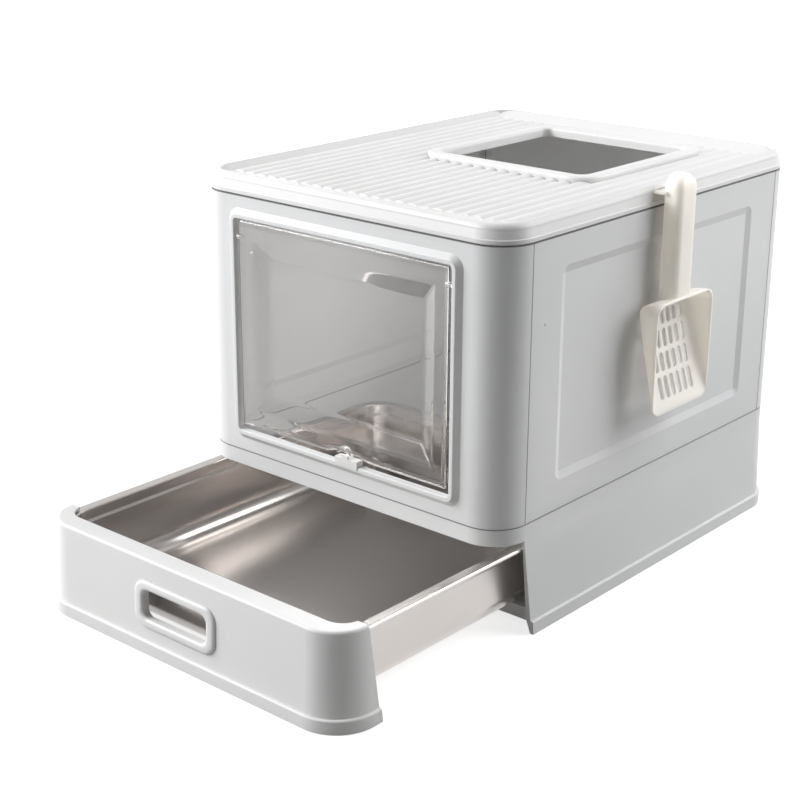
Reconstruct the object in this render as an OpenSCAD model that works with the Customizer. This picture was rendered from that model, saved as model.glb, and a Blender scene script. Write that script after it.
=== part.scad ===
// Drawer litter box: a moulded cabin with a see-through flap door, a fluted lid with an exit hole,
// a front-loading drawer that carries a pressed steel tray, and a litter scoop hung on the lid.
// Millimetres. Origin: centre of the cabin's footprint on the floor. +X right, +Y to the back, +Z up.
// The drawer is drawn pulled out by drawer_out.

/* [Cabin] */
// Width of the cabin across its side panels
body_w = 400; // [340:5:460]
// Length of the cabin from front panel to back panel
body_l = 510; // [440:5:600]
// Height of the line where the panels stand on the base
base_h = 117.5; // [105:0.5:140]
// Height of the top edge of the panels
panel_top = 389.5; // [350:0.1:460]
// Radius of the four upright corners
corner_r = 38; // [30:1:48]
// Wall thickness of the panels
panel_t = 3; // [2:0.1:4]
// Gap between parts that sit in each other
fit_gap = 0.3; // [0.2:0.05:0.5]
// Length of the tongues that lie behind the side panels
tongue_l = 8; // [6:1:16]
// Thickness of locating tongues and lips
tongue_t = 2.2; // [1.5:0.1:3]

/* [Base] */
// Wall thickness of the base
base_t = 5; // [4:0.5:7]
// Thickness of the base's side walls below the bar
side_t = 2.4; // [2:0.1:3]
// Height of the bar that bridges the drawer opening
bar_h = 16.5; // [12:0.5:24]
// How far the base wall leans out above the skirt
flare = 3; // [1:0.5:5]
// Height of the skirt round the foot
skirt_h = 14.5; // [10:0.5:20]
// How far the skirt stands out from the panels
skirt_out = 6; // [4:0.5:9]
// Slope of the joint between base and drawer front, as run over the height of the drawer front
split_run = 12; // [6:1:16]
// Height of the floor's upper face
floor_z = 17; // [12:0.5:17.5]
// Thickness of the floor and its ribs
floor_t = 3; // [2:0.5:4]
// Distance from the front end of the base walls to the floor's front edge
floor_inset = 26; // [20:1:40]
// Height of the locating lip that stands behind the panels
lip_h = 8; // [5:1:12]

/* [Door frame] */
// Width of the doorway
door_open_w = 282; // [220:1:300]
// Height of the doorway's sill above the base
sill_rise = 24.5; // [20.5:0.5:40]
// Height of the doorway's top edge
lintel_z = 367; // [320:1:374]
// How far the raised frame stands out from the front panel
frame_out = 5; // [3:0.5:8]
// Width of the frame's flat face
frame_face = 5; // [4:0.5:8]
// Width of the frame's sloped outer edge
frame_slope = 5; // [3:0.5:5]
// Corner radius of the doorway
door_open_r = 4; // [3:0.5:8]

/* [Flap door] */
// Gap between the door's side and the doorway
door_gap_x = 7.5; // [3:0.5:8]
// Gap under the door
door_gap_bottom = 10.5; // [9:0.5:12]
// Gap above the door
door_gap_top = 2; // [1.5:0.5:4]
// Thickness of the clear sheet
door_t = 3; // [2.5:0.5:4]
// Distance of the hinge line below the door's top edge
hinge_drop = 17; // [14:0.5:20]
// Radius of the door's hinge pins
hinge_pin_r = 2; // [1.5:0.1:2.2]
// Running clearance round a hinge pin, on the radius
hinge_play = 0.06; // [0.03:0.01:0.1]
// How deep a pin enters the frame
hinge_pin_in = 4; // [2:0.5:5]
// Width of the flat border beside the door's dish
door_border = 15.5; // [12:0.5:24]
// Width of the flat border above the dish
door_border_top = 20; // [12:0.5:24]
// Width of the flat border below the dish
door_border_bottom = 14; // [12:0.5:24]
// Width of the dish's sloped sides
dish_slope = 18; // [10:0.5:24]
// Depth of the dish
dish_depth = 8; // [4:0.5:10]

/* [Door latch] */
// Sideways place of the door's thumb arch
arch_x = 9.5; // [-60:0.5:60]
// How far the latch block's centre lies beside the thumb arch
latch_side = 1.5; // [-4:0.5:4]
// Width of the latch block
latch_w = 29; // [20:1:40]
// How far the latch is pushed up to lock the door
latch_lift = 4.2; // [3.5:0.1:4.2]
// Outer radius of the door's thumb arch
arch_r = 10.5; // [9:0.5:12]
// Thickness of the thumb arch's rim
arch_t = 3; // [2:0.5:3.5]
// How far the thumb arch stands out from the door
arch_out = 4; // [3:0.5:6]

/* [Side panels] */
// Distance from a side panel's upright edge to the sunk field
field_inset_y = 45.5; // [30:0.5:60]
// Distance from a side panel's top edge to the sunk field
field_inset_top = 29.5; // [20:0.5:50]
// Distance from a side panel's bottom edge to the sunk field
field_inset_bottom = 30; // [20:0.5:50]
// Depth of the sunk field
field_depth = 2.5; // [1.5:0.5:4]
// Width of the slope into the sunk field
field_slope = 8; // [5:0.5:14]
// Radius of the snap hole near a side panel's front edge
snap_r = 1.5; // [1:0.1:2.5]
// Distance of the snap hole from the panel's front edge
snap_in = 20.5; // [18:0.5:30]
// Distance of the snap hole below the panel's top edge
snap_drop = 80; // [40:1:140]

/* [Lid] */
// Seam between the panels' top edge and the lid
lid_seam = 0.9; // [0.3:0.1:0.9]
// Height of the lid's rim
lid_h = 19.1; // [16:0.1:26]
// Height of the upright band along the rim's lower edge
rim_band_h = 4; // [2:0.5:6]
// How far the rim draws in above that band
rim_in = 3; // [1.5:0.5:4]
// Radius of the lid's upper edge
lid_edge_r = 7; // [5:0.5:8]
// Wall thickness of the lid
lid_t = 3; // [2.5:0.5:4]
// Distance from the lid's front edge to the sunk field
border_front = 32; // [24:1:50]
// Distance from the lid's side edges to the sunk field
border_side = 19; // [16:1:30]
// Distance from the lid's back edge to the sunk field
border_back = 33; // [24:1:60]
// Depth of the sunk field below the rim's top
field_drop = 5.9; // [4:0.1:8]
// Spacing of the flutes
flute_pitch = 15.4; // [15:0.2:20]
// Width of one flute's ridge
flute_w = 14.4; // [10:0.2:14.8]
// Height of one flute's ridge
flute_h = 2.6; // [1.5:0.1:2.8]
// Distance from the flutes' ends to the back edge of the field
flute_back_gap = 11; // [2:0.5:20]

/* [Exit hole] */
// Width of the exit hole
hole_w = 187; // [150:1:220]
// Length of the exit hole
hole_l = 195; // [150:1:220]
// Sideways place of the exit hole's centre
hole_x = 24.5; // [0:0.5:30]
// Place of the exit hole's centre behind the cabin's centre
hole_y = 71.5; // [50:0.5:80]
// Corner radius of the exit hole
hole_r = 10; // [8:1:24]
// Width of the raised frame round the exit hole
ring_w = 15; // [10:1:18]
// How far that frame stands above the rim's top
ring_rise = 1.4; // [0:0.1:4]
// Radius of that frame's upper edges
ring_round = 3; // [1.5:0.5:4]

/* [Drawer] */
// How far the drawer is drawn out of the base
drawer_out = 219; // [0:1:230]
// Height of the drawer front's upper face
front_top = 96.5; // [88:0.5:98]
// Radius of the drawer front's upper edge
front_edge_r = 3; // [2:0.5:5]
// Thickness of the drawer front's walls
front_t = 3; // [2.5:0.5:4]
// Width of the upper face along the front
ledge_front = 21; // [18:1:26]
// Width of the upper face along the short sides
ledge_side = 13; // [10:1:15]
// Height of the drawer front above the floor
ground_gap = 0.8; // [0.5:0.1:2]

/* [Handle] */
// Width of the finger opening
grip_w = 86; // [70:1:92]
// Height of the finger opening
grip_h = 29; // [22:1:34]
// Width of the bezel round the finger opening
bezel_w = 109; // [103:1:120]
// Height of the bezel round the finger opening
bezel_h = 47; // [44:1:52]
// Corner radius of the bezel
bezel_r = 14; // [8:1:20]
// How far the bezel stands out
grip_out = 3; // [2:0.5:4]
// Height of the finger opening's centre
grip_z = 51.5; // [42:0.5:54]
// Sideways place of the finger opening
grip_x = -4.5; // [-20:0.5:20]

/* [Steel tray] */
// Thickness of the sheet steel
steel_t = 1; // [0.8:0.1:1.5]
// Gap between the tray's flange and the base's side wall
tray_side_gap = 1.1; // [0.8:0.1:4]
// Width of the tray's flange
flange_w = 11.5; // [8:0.5:12]
// Gap between the drawer front's underside and the tray's flange
flange_gap = 1.2; // [0.3:0.1:2]
// Distance of the tray's front wall behind the drawer front's face
tray_setback = 17; // [16:0.5:26]
// Gap between the tray's flange and the base's back wall when the drawer is shut
tray_rear_gap = 10; // [4:1:20]
// Radius of the tray's bottom edge
tray_bend_r = 12; // [8:1:22]
// Radius of the tray's upright corners
tray_corner_r = 20; // [20:1:32]
// Height of the step band under the tray's flange
tray_band_h = 12; // [8:1:20]
// Height of the tray's underside
tray_z = 19; // [18.8:0.1:24]

/* [Screws] */
// Radius of the screws that hold the drawer front to the tray's front wall
screw_r = 1.8; // [1.5:0.1:2]
// Length of the screws
screw_l = 13; // [9:1:15]
// Radius of the screws' heads
screw_head_r = 3.4; // [3:0.1:4]
// Sideways distance of each screw from the centre
screw_x = 120; // [60:5:140]
// Height of the screws
screw_z = 66; // [50:1:74]

/* [Scoop] */
// Width of the scoop's bowl
bowl_w = 103; // [80:1:130]
// Height of the top of the bowl
bowl_top = 300.5; // [290:0.5:320]
// Length of the bowl
bowl_l = 117; // [100:1:140]
// Depth of the bowl at its handle end
bowl_d = 25.5; // [22:0.5:36]
// Wall thickness of the bowl
bowl_t = 2; // [1.6:0.1:3]
// Gap between the bowl's back and the side panel
bowl_gap = 4.5; // [1:0.1:5]
// Corner radius of the bowl
bowl_r = 13; // [8:1:20]
// Width of the handle
grip_bar_w = 31; // [28:1:36]
// Thickness of the handle
grip_bar_t = 17; // [12:1:24]
// Length of the handle above the bowl
grip_bar_l = 122.5; // [118:0.5:130]
// Width of the tongue that hooks into the lid
hook_w = 40; // [32:1:60]
// Height of the tongue's upper face below the rim's top
hook_drop = 4.1; // [3.5:0.1:8]
// Number of slots in a row
slot_cols = 6; // [4:1:8]
// Number of rows of long slots
slot_rows = 3; // [1:1:3]
// Spacing of slots in a row
slot_pitch = 10.7; // [9:0.1:12]
// Width of one slot
slot_w = 6.6; // [4:0.1:7]
// Length of a long slot
slot_l = 20; // [12:1:22]
// Length of a short slot in the first row
slot_short_l = 16; // [10:1:18]
// Distance between rows of slots
slot_gap = 4; // [3:0.5:6]
// Distance of the first row below the bowl's top
slot_top = 16.5; // [14:0.5:22]

/* [Hidden] */
eps = 0.01;
shell_white = [0.86, 0.87, 0.88];
lid_white = [0.94, 0.94, 0.94];
scoop_white = [0.95, 0.93, 0.89];
steel_grey = [0.62, 0.60, 0.58];
clear_tint = [0.75, 0.76, 0.78, 0.4];
arc_n = 6;
round_fn = 64;

// Cabin
return_y = body_l / 2 - corner_r;
panel_bottom = base_h + fit_gap;
wall_in_x = body_w / 2 - panel_t;
tongue_clear = 8;

// Base
bar_z = base_h - bar_h;
foot_in = 1.6;
skirt_round = 2;
glide_w = 4;
glide_top = tray_z - fit_gap;
under_rib_z = 4;

// Door frame
frame_face_y = -body_l / 2 - frame_out;
panel_in_y = -body_l / 2 + panel_t;
sill_z = base_h + sill_rise;
door_open_h = lintel_z - sill_z;
door_open_zc = (lintel_z + sill_z) / 2;

// Flap door
door_w = door_open_w - 2 * door_gap_x;
door_bottom = sill_z + door_gap_bottom;
door_top = lintel_z - door_gap_top;
door_h = door_top - door_bottom;
door_zc = (door_top + door_bottom) / 2;
door_face_y = frame_face_y + 2;
door_back_y = door_face_y + door_t;
hinge_z = door_top - hinge_drop;
hinge_y = (door_face_y + door_back_y) / 2;
hinge_tip_x = door_open_w / 2 + hinge_pin_in;
hinge_knuckle_r = hinge_pin_r + 0.8;
arch_drop = 2.2;

// Latch
latch_x = arch_x + latch_side;
latch_bottom = sill_z - 2.5;
latch_play = fit_gap;
latch_face_y = frame_face_y - 0.6;
latch_back_y = panel_in_y + fit_gap;
latch_top = door_bottom - fit_gap - latch_lift;
latch_key_w = 8;
latch_key_top = door_bottom - 0.8;
latch_plate_t = 1.6;
latch_plate_w = latch_w + 12;
latch_plate_h = 6;

// Lid
lid_bottom = panel_top + lid_seam;
rim_top = lid_bottom + lid_h;
ring_top = rim_top + ring_rise;
field_z = rim_top - field_drop;
brim = rim_in + lid_edge_r;
brim_lap = 4;
field_w = body_w - 2 * border_side;
field_l = body_l - border_front - border_back;
field_yc = (border_front - border_back) / 2;
flute_count = floor((field_w - flute_w) / flute_pitch) + 1;
flute_end_gap = 0.6;

// Drawer
shut_front_y = -body_l / 2;
tray_w = body_w - 2 * (side_t + tray_side_gap + flange_w);
ledge_z = front_top - front_t;
flange_top = ledge_z - flange_gap;
tray_front_y = shut_front_y + tray_setback;
tray_back_y = body_l / 2 - base_t - tray_rear_gap - flange_w;
tray_l = tray_back_y - tray_front_y;
tray_yc = (tray_back_y + tray_front_y) / 2;
tray_step = 1.5;
hem_drop = 3;
boss_r = 5;
boss_end_y = tray_front_y + tray_step - fit_gap;
rib_end_y = tray_front_y - flange_w - fit_gap;
lean = atan(flare / (ledge_z - skirt_h));

// Handle
grip_r = 8;
grip_face_y = shut_front_y - flare * (ledge_z - grip_z) / (ledge_z - skirt_h);
sleeve_t = 2;
sleeve_l = front_t + 3;

// Scoop
bowl_back_x = body_w / 2 + bowl_gap;
bowl_flat = 6;
bar_back_x = body_w / 2 + 9;
bar_top_r = 8;
bar_edge_r = 10;
bar_lip_h = 66;
bar_run_on = 40;
hook_top = rim_top - hook_drop;
hook_t = 3;
hook_in = 7;

// Points of an arc from angle a0 to a1, in n steps
function arc_pts(cx, cy, r, a0, a1, n = arc_n) =
    [for (i = [0:n]) let (a = a0 + (a1 - a0) * i / n) [cx + r * cos(a), cy + r * sin(a)]];

// Carries a profile round a rounded rectangle in the XY plane. The profile's x is the distance
// outward from the outline, its y is height. Runs: right, back, left, front.
// Bends: back right, back left, front left, front right.
module swept(w, l, r, runs = [1, 1, 1, 1], bends = [1, 1, 1, 1]) {
    for (i = [0:3]) if (runs[i])
        rotate(90 * i) translate([(i % 2 == 0 ? w : l) / 2, 0, 0])
            rotate([90, 0, 0]) linear_extrude((i % 2 == 0 ? l : w) - 2 * r, center = true) children();
    for (i = [0:3]) if (bends[i])
        translate([(i == 0 || i == 3 ? 1 : -1) * (w / 2 - r), (i < 2 ? 1 : -1) * (l / 2 - r), 0])
            rotate(90 * i) rotate_extrude(angle = 90, $fn = round_fn) translate([r, 0]) children();
}

// Rounded rectangle, flat
module round_rect(w, l, r) {
    square([w - 2 * r, l], center = true);
    square([w, l - 2 * r], center = true);
    for (x = [-1, 1], y = [-1, 1])
        translate([x * (w / 2 - r), y * (l / 2 - r)]) circle(r, $fn = round_fn);
}

// Rounded plate from height z0 to z1
module plate(w, l, r, z0, z1) {
    translate([0, 0, z0]) linear_extrude(z1 - z0) round_rect(w, l, r);
}

// Turns a shape that was drawn lying down so that its +Y is up and its +Z is towards the front
module upright() { rotate([90, 0, 0]) children(); }

// Everything behind the sloping joint between base and drawer front
module behind_split(shift = 0) {
    y0 = -return_y + shift;
    big = body_l;
    translate([-body_w, 0, 0]) rotate([90, 0, 90]) linear_extrude(2 * body_w)
        polygon([
            [y0 + split_run, -eps], [y0, bar_z + eps], [y0, base_h + 1], [big, base_h + 1], [big, -eps]
        ]);
}

// Outer face of base and drawer front from the top edge down to the floor
function foot_outline(top, bottom) = concat(
    [[0, top], [flare, skirt_h]],
    arc_pts(skirt_out - skirt_round, skirt_h - skirt_round, skirt_round, 90, 0),
    [[skirt_out, bottom]]
);

// ---------------------------------------------------------------- cabin

module base_wall_profile() {
    polygon(concat(
        [[0, base_h], [0, bar_z], [flare, skirt_h]],
        arc_pts(skirt_out - skirt_round, skirt_h - skirt_round, skirt_round, 90, 0),
        [
            [skirt_out, 0], [foot_in, 0], [-side_t, skirt_h], [-side_t, bar_z],
            [-base_t, bar_z + eps], [-base_t, base_h]
        ]
    ));
}

module base_lip_profile() {
    lip_u = -panel_t - fit_gap;
    polygon([
        [-base_t, bar_z], [lip_u, bar_z], [lip_u, base_h + lip_h - 1], [lip_u - 0.8, base_h + lip_h],
        [lip_u - tongue_t, base_h + lip_h], [lip_u - tongue_t, base_h - 6]
    ]);
}

module base_frame() {
    color(shell_white) union() {
        swept(body_w, body_l, corner_r)
            translate([-base_t, bar_z]) square([base_t, bar_h]);
        swept(body_w, body_l, corner_r) base_lip_profile();
        intersection() {
            swept(body_w, body_l, corner_r, runs = [1, 1, 1, 0], bends = [1, 1, 0, 0]) base_wall_profile();
            behind_split();
        }
        base_floor();
    }
}

// Floor of the base with a front lip, glide ribs under the tray and stiffening ribs below
module base_floor() {
    floor_front = -return_y + floor_inset;
    side = body_w / 2;
    back = body_l / 2;
    glide_x = tray_w / 2 - tray_bend_r - tray_corner_r / 2;
    intersection() {
        plate(2 * side, 2 * back, corner_r, 0, glide_top);
        union() {
            translate([-side, floor_front, floor_z - floor_t])
                cube([2 * side, back - floor_front, floor_t]);
            translate([-side, floor_front, under_rib_z])
                cube([2 * side, floor_t, floor_z - under_rib_z]);
            for (x = [-1, 0, 1])
                translate([x * side / 2 - floor_t / 2, floor_front, under_rib_z])
                    cube([floor_t, back - floor_front, floor_z - under_rib_z]);
            for (x = [-1, -0.4, 0.4, 1])
                translate([x * glide_x - glide_w / 2, floor_front, floor_z - 1])
                    cube([glide_w, back - floor_front - corner_r, glide_top - floor_z + 1]);
        }
    }
}

// Shell of an end panel: one face and the two corners that wrap round to the side panels
module end_shell(z0, z1) {
    swept(body_w, body_l, corner_r, runs = [0, 0, 0, 1], bends = [0, 0, 1, 1])
        translate([-panel_t, z0]) square([panel_t, z1 - z0]);
    for (s = [-1, 1])
        end_tongue(s, z0 + tongue_clear + lip_h, z1 - tongue_clear - lip_h);
}

// Tongue behind the side panel, with the snap nub that shows in the panel's hole
module end_tongue(s, z0, z1) {
    face_x = wall_in_x - fit_gap;
    back_in = 14;
    translate([s * (face_x - tongue_t / 2) - tongue_t / 2, -return_y - back_in, z0])
        cube([tongue_t, back_in + tongue_l, z1 - z0]);
}

module door_frame_ring() {
    inner = door_open_r;
    translate([0, -body_l / 2 + eps, door_open_zc]) upright()
        swept(door_open_w, door_open_h, inner)
            polygon(concat(
                arc_pts(1, frame_out - 1, 1, 180, 90, 3),
                arc_pts(frame_face - 1, frame_out - 1, 1, 90, 45, 2),
                [[frame_face + frame_slope, 0], [0, 0]]
            ));
}

module doorway(depth) {
    translate([0, 0, door_open_zc]) upright() linear_extrude(depth, center = true)
        round_rect(door_open_w, door_open_h, door_open_r);
}

module front_panel() {
    color(shell_white) difference() {
        union() {
            end_shell(panel_bottom, panel_top);
            door_frame_ring();
            hinge_bosses();
        }
        translate([0, -body_l / 2, 0]) doorway(4 * (frame_out + panel_t));
        hinge_sockets();
        latch_notch();
    }
}

// Blocks beside the doorway that hold the door's pins
module hinge_bosses() {
    for (s = [-1, 1])
        translate([s * (door_open_w / 2 + (hinge_pin_in + 2) / 2), 0, hinge_z])
            translate([-(hinge_pin_in + 2) / 2, frame_face_y + 1.2, -6])
                cube([hinge_pin_in + 2, panel_in_y - frame_face_y + 1, 12]);
}

module hinge_sockets() {
    for (s = [-1, 1])
        translate([s * (door_open_w / 2 + hinge_pin_in / 2 + fit_gap / 2 - eps), hinge_y, hinge_z])
            rotate([0, 90, 0])
                cylinder(h = hinge_pin_in + fit_gap + 2 * eps, r = hinge_pin_r + hinge_play, center = true,
                    $fn = round_fn);
}

// Notch in the sill that the latch slides in
module latch_notch() {
    w = latch_w + 2 * latch_play;
    translate([latch_x - w / 2, frame_face_y - 1, latch_bottom - latch_play])
        cube([w + 1.4, frame_out + panel_t + 4, sill_z - latch_bottom + latch_play + 1]);
}

module back_panel() {
    color(shell_white) rotate(180) end_shell(panel_bottom, panel_top);
}

// Side panel with a sunk field, drawn at the right
module side_panel() {
    half_l = return_y - fit_gap;
    h = panel_top - panel_bottom;
    zc = (panel_top + panel_bottom) / 2;
    f_l = 2 * (half_l - field_inset_y);
    f_h = h - field_inset_top - field_inset_bottom;
    f_zc = zc + (field_inset_bottom - field_inset_top) / 2;
    inner_r = 1.5;
    in_l = f_l - 2 * field_slope;
    in_h = f_h - 2 * field_slope;
    difference() {
        union() {
            difference() {
                translate([wall_in_x, -half_l, panel_bottom]) cube([panel_t, 2 * half_l, h]);
                translate([0, 0, f_zc]) rotate([90, 0, 90]) linear_extrude(body_w)
                    round_rect(f_l, f_h, inner_r + field_slope);
            }
            translate([wall_in_x, 0, f_zc]) rotate([90, 0, 90]) {
                swept(in_l, in_h, inner_r)
                    polygon([
                        [0, -field_depth], [field_slope, 0], [field_slope + 1, 0],
                        [field_slope + 1, panel_t], [field_slope, panel_t], [0, panel_t - field_depth]
                    ]);
                plate(in_l, in_h, inner_r, -field_depth, panel_t - field_depth);
            }
        }
        translate([wall_in_x + panel_t / 2, -half_l + snap_in, panel_top - snap_drop]) rotate([0, 90, 0])
            cylinder(h = 2 * panel_t, r = snap_r, center = true, $fn = 24);
    }
}

module right_panel() { color(shell_white) side_panel(); }

module left_panel() { color(shell_white) mirror([1, 0, 0]) side_panel(); }

// ---------------------------------------------------------------- lid

// Section of the rim: upright band, wall that draws in, round upper edge, and the lip below
module lid_rim_profile() {
    lip_u = -panel_t - fit_gap;
    edge_z = rim_top - lid_edge_r;
    polygon(concat(
        [[0, lid_bottom], [0, lid_bottom + rim_band_h], [-1, lid_bottom + rim_band_h + 1]],
        arc_pts(-brim, edge_z, lid_edge_r, 0, 90),
        [[-brim - brim_lap, rim_top], [-brim - brim_lap, rim_top - lid_t]],
        arc_pts(-brim, edge_z, lid_edge_r - lid_t, 90, 0),
        [
            [-rim_in - lid_t, lid_bottom + 4], [lip_u - tongue_t, lid_bottom + 3],
            [lip_u - tongue_t, lid_bottom - lip_h + 1], [lip_u - tongue_t + 1, lid_bottom - lip_h],
            [lip_u, lid_bottom - lip_h], [lip_u, lid_bottom]
        ]
    ));
}

// Block that widens on slopes from the field's edges up to the rim's top. It is lowered by drop, its
// outer edge is drawn in by lap, and it ends at height top
module field_block(drop, lap, top) {
    z0 = field_z - drop;
    rise = (top - z0) / field_drop;
    w = body_w / 2 - brim;
    l = body_l / 2 - brim;
    x0 = -field_w / 2;
    y0 = field_yc - field_l / 2;
    y1 = field_yc + field_l / 2;
    intersection() {
        rotate([90, 0, 0]) linear_extrude(body_l, center = true)
            slope_outline(x0, -x0, z0, (w + x0) * rise, (w + x0) * rise, top);
        rotate([90, 0, 90]) linear_extrude(body_w, center = true)
            slope_outline(y0, y1, z0, (l + y0) * rise, (l - y1) * rise, top);
        plate(2 * (w - lap), 2 * (l - lap), corner_r - brim - lap, z0 - 1, top);
    }
}

// Outline with a flat bottom from x0 to x1 that opens out by left and right up to height z1
module slope_outline(x0, x1, z0, left, right, z1) {
    polygon([[x0, z0], [x1, z0], [x1 + right, z1], [x0 - left, z1]]);
}

// Rim and sunk field as one sheet, cut out under the frame of the exit hole
module lid_sheet() {
    cut = 2 * (ring_w - lid_t / 2);
    difference() {
        union() {
            swept(body_w, body_l, corner_r) lid_rim_profile();
            field_block(lid_t, 1, rim_top);
        }
        field_block(0, 0, rim_top + 1);
        translate([hole_x, hole_y, 0])
            plate(hole_w + cut, hole_l + cut, hole_r + cut / 2, field_z - 3 * lid_t, rim_top + 1);
    }
}

// One flute: a ridge with a round back, cut from a cylinder
module flute(x) {
    r = (flute_w * flute_w / 4 + flute_h * flute_h) / (2 * flute_h);
    y0 = field_yc - field_l / 2 + flute_end_gap;
    l = field_l - flute_end_gap - flute_back_gap;
    intersection() {
        translate([x, y0 + l / 2, field_z + flute_h - r]) rotate([90, 0, 0])
            cylinder(h = l, r = r, center = true, $fn = 96);
        translate([x - flute_w, y0 - 1, field_z - eps]) cube([2 * flute_w, l + 2, flute_h + 1]);
    }
}

// All flutes, cut back round the frame of the exit hole
module flutes() {
    cut = 2 * ring_w + 1;
    difference() {
        for (i = [0:flute_count - 1]) flute((i - (flute_count - 1) / 2) * flute_pitch);
        translate([hole_x, hole_y, 0])
            plate(hole_w + cut, hole_l + cut, hole_r + cut / 2, field_z - 1, rim_top);
    }
}

// Raised frame of the exit hole, with round upper edges and hollow below
module hole_ring() {
    z0 = field_z - lid_t;
    translate([hole_x, hole_y, 0]) swept(hole_w, hole_l, hole_r)
        polygon(concat(
            [[0, z0]],
            arc_pts(ring_round, ring_top - ring_round, ring_round, 180, 90),
            arc_pts(ring_w - ring_round, ring_top - ring_round, ring_round, 90, 0),
            [
                [ring_w, z0], [ring_w - lid_t, z0], [ring_w - lid_t, ring_top - lid_t],
                [lid_t, ring_top - lid_t], [lid_t, z0]
            ]
        ));
}

// Slot through the rim's side that takes the tongue of the scoop's hook
module hook_slot() {
    in_x = body_w / 2 - brim + 1;
    translate([in_x, -hook_w / 2 - fit_gap, hook_top - hook_t - fit_gap])
        cube([brim, hook_w + 2 * fit_gap, hook_t + 2 * fit_gap]);
}

module lid() {
    color(lid_white) difference() {
        union() {
            lid_sheet();
            flutes();
            hole_ring();
        }
        hook_slot();
    }
}

// ---------------------------------------------------------------- door and latch

// Frustum of the dish, lying down: wide end at z = 0, narrow end at z = -depth
module dish_body(w, h, depth, slope) {
    hull() {
        translate([-w / 2, -h / 2, -eps]) cube([w, h, eps]);
        translate([-w / 2 + slope, -h / 2 + slope, -depth]) cube([w - 2 * slope, h - 2 * slope, eps]);
    }
}

module flap_door() {
    dish_w = door_w - 2 * door_border;
    dish_h = door_h - door_border_top - door_border_bottom;
    dish_up = (door_border_bottom - door_border_top) / 2;
    color(clear_tint) union() {
        translate([0, door_face_y, door_zc]) upright() difference() {
            union() {
                translate([0, 0, -door_t]) linear_extrude(door_t) round_rect(door_w, door_h, door_open_r / 2);
                translate([0, dish_up, -door_t]) dish_body(dish_w, dish_h, dish_depth, dish_slope);
            }
            translate([0, dish_up, eps]) dish_body(dish_w, dish_h, dish_depth, dish_slope);
        }
        for (s = [-1, 1]) {
            hinge_pin(s, door_w / 2 - 1, hinge_tip_x, hinge_pin_r);
            hinge_pin(s, door_w / 2 - 1.5, door_w / 2 + 2, hinge_knuckle_r);
        }
        thumb_arch();
    }
}

// Round pin along the hinge line, from x0 to x1 on one side of the door
module hinge_pin(s, x0, x1, r) {
    translate([s * (x0 + x1) / 2, hinge_y, hinge_z]) rotate([0, 90, 0])
        cylinder(h = x1 - x0, r = r, center = true, $fn = round_fn);
}

// Arched thumb grip on the door's lower edge
module thumb_arch() {
    translate([arch_x, door_face_y + eps, door_bottom - arch_drop]) upright() linear_extrude(arch_out)
        intersection() {
            difference() {
                circle(arch_r, $fn = round_fn);
                circle(arch_r - arch_t, $fn = round_fn);
            }
            translate([-arch_r, arch_drop]) square([2 * arch_r, arch_r]);
        }
}

// Latch block in the sill's notch, with a key that rises behind and in front of the door's edge
module door_latch() {
    block_d = latch_back_y - latch_face_y;
    front_key_d = door_face_y - fit_gap - 0.1 - latch_face_y;
    rear_key_y = door_back_y + 3 * fit_gap;
    color(lid_white) union() {
        translate([latch_x - latch_w / 2, latch_face_y, latch_bottom])
            cube([latch_w, block_d, latch_top - latch_bottom]);
        translate([arch_x - latch_key_w / 2, latch_face_y, latch_top - eps])
            cube([latch_key_w, front_key_d, latch_key_top - latch_top]);
        translate([arch_x - latch_key_w / 2, rear_key_y, latch_top - eps])
            cube([latch_key_w, latch_back_y - rear_key_y, latch_key_top - latch_top]);
        translate([latch_x - latch_plate_w / 2, latch_back_y - eps, latch_bottom - 4])
            cube([latch_plate_w, latch_plate_t, latch_plate_h]);
    }
}

// ---------------------------------------------------------------- drawer

// Wall of the drawer front, from the floor to its rolled upper edge
module front_wall_profile() {
    polygon(concat(
        [[skirt_out, ground_gap]],
        arc_pts(skirt_out - skirt_round, skirt_h - skirt_round, skirt_round, 0, 90),
        [[flare, skirt_h]],
        arc_pts(-front_edge_r, front_top - front_edge_r, front_edge_r, 0, 90),
        [
            [-front_edge_r - 1, front_top], [-front_edge_r - 1, ledge_z], [-front_t, ledge_z - 1],
            [flare - front_t, skirt_h], [skirt_out - front_t, skirt_h - 4], [skirt_out - front_t, ground_gap]
        ]
    ));
}

module front_shell() {
    swept(body_w, body_l, corner_r, runs = [0, 0, 0, 1], bends = [0, 0, 1, 1]) front_wall_profile();
}

module drawer_front() {
    color(lid_white) translate([0, -drawer_out, 0]) difference() {
        union() {
            difference() {
                union() {
                    front_shell();
                    front_sides();
                    front_ledge();
                }
                behind_split(-fit_gap);
            }
            front_bosses();
        }
        handle_hole();
        for (s = [-1, 1]) translate([s * screw_x, boss_end_y - screw_l / 2, screw_z]) rotate([90, 0, 0])
            cylinder(h = screw_l, r = screw_r + 0.2, center = true, $fn = 24);
    }
}

// Short straight stretch of the side returns, cut off later along the sloping joint
module front_sides() {
    for (s = [-1, 1]) scale([s, 1, 1])
        translate([body_w / 2, -return_y + split_run / 2, 0]) rotate([90, 0, 0])
            linear_extrude(split_run, center = true) front_wall_profile();
}

// Upper face of the drawer front
module front_ledge() {
    edge = front_edge_r;
    inner_r = corner_r - ledge_side - 5;
    intersection() {
        difference() {
            plate(body_w - 2 * edge, body_l - 2 * edge, corner_r - edge, ledge_z, front_top);
            translate([0, body_l / 2 + shut_front_y + ledge_front, 0])
                plate(body_w - 2 * ledge_side, body_l, inner_r, ledge_z - 1, front_top + 1);
        }
        translate([-body_w, shut_front_y, 0]) cube([2 * body_w, corner_r, body_l]);
    }
}

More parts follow.
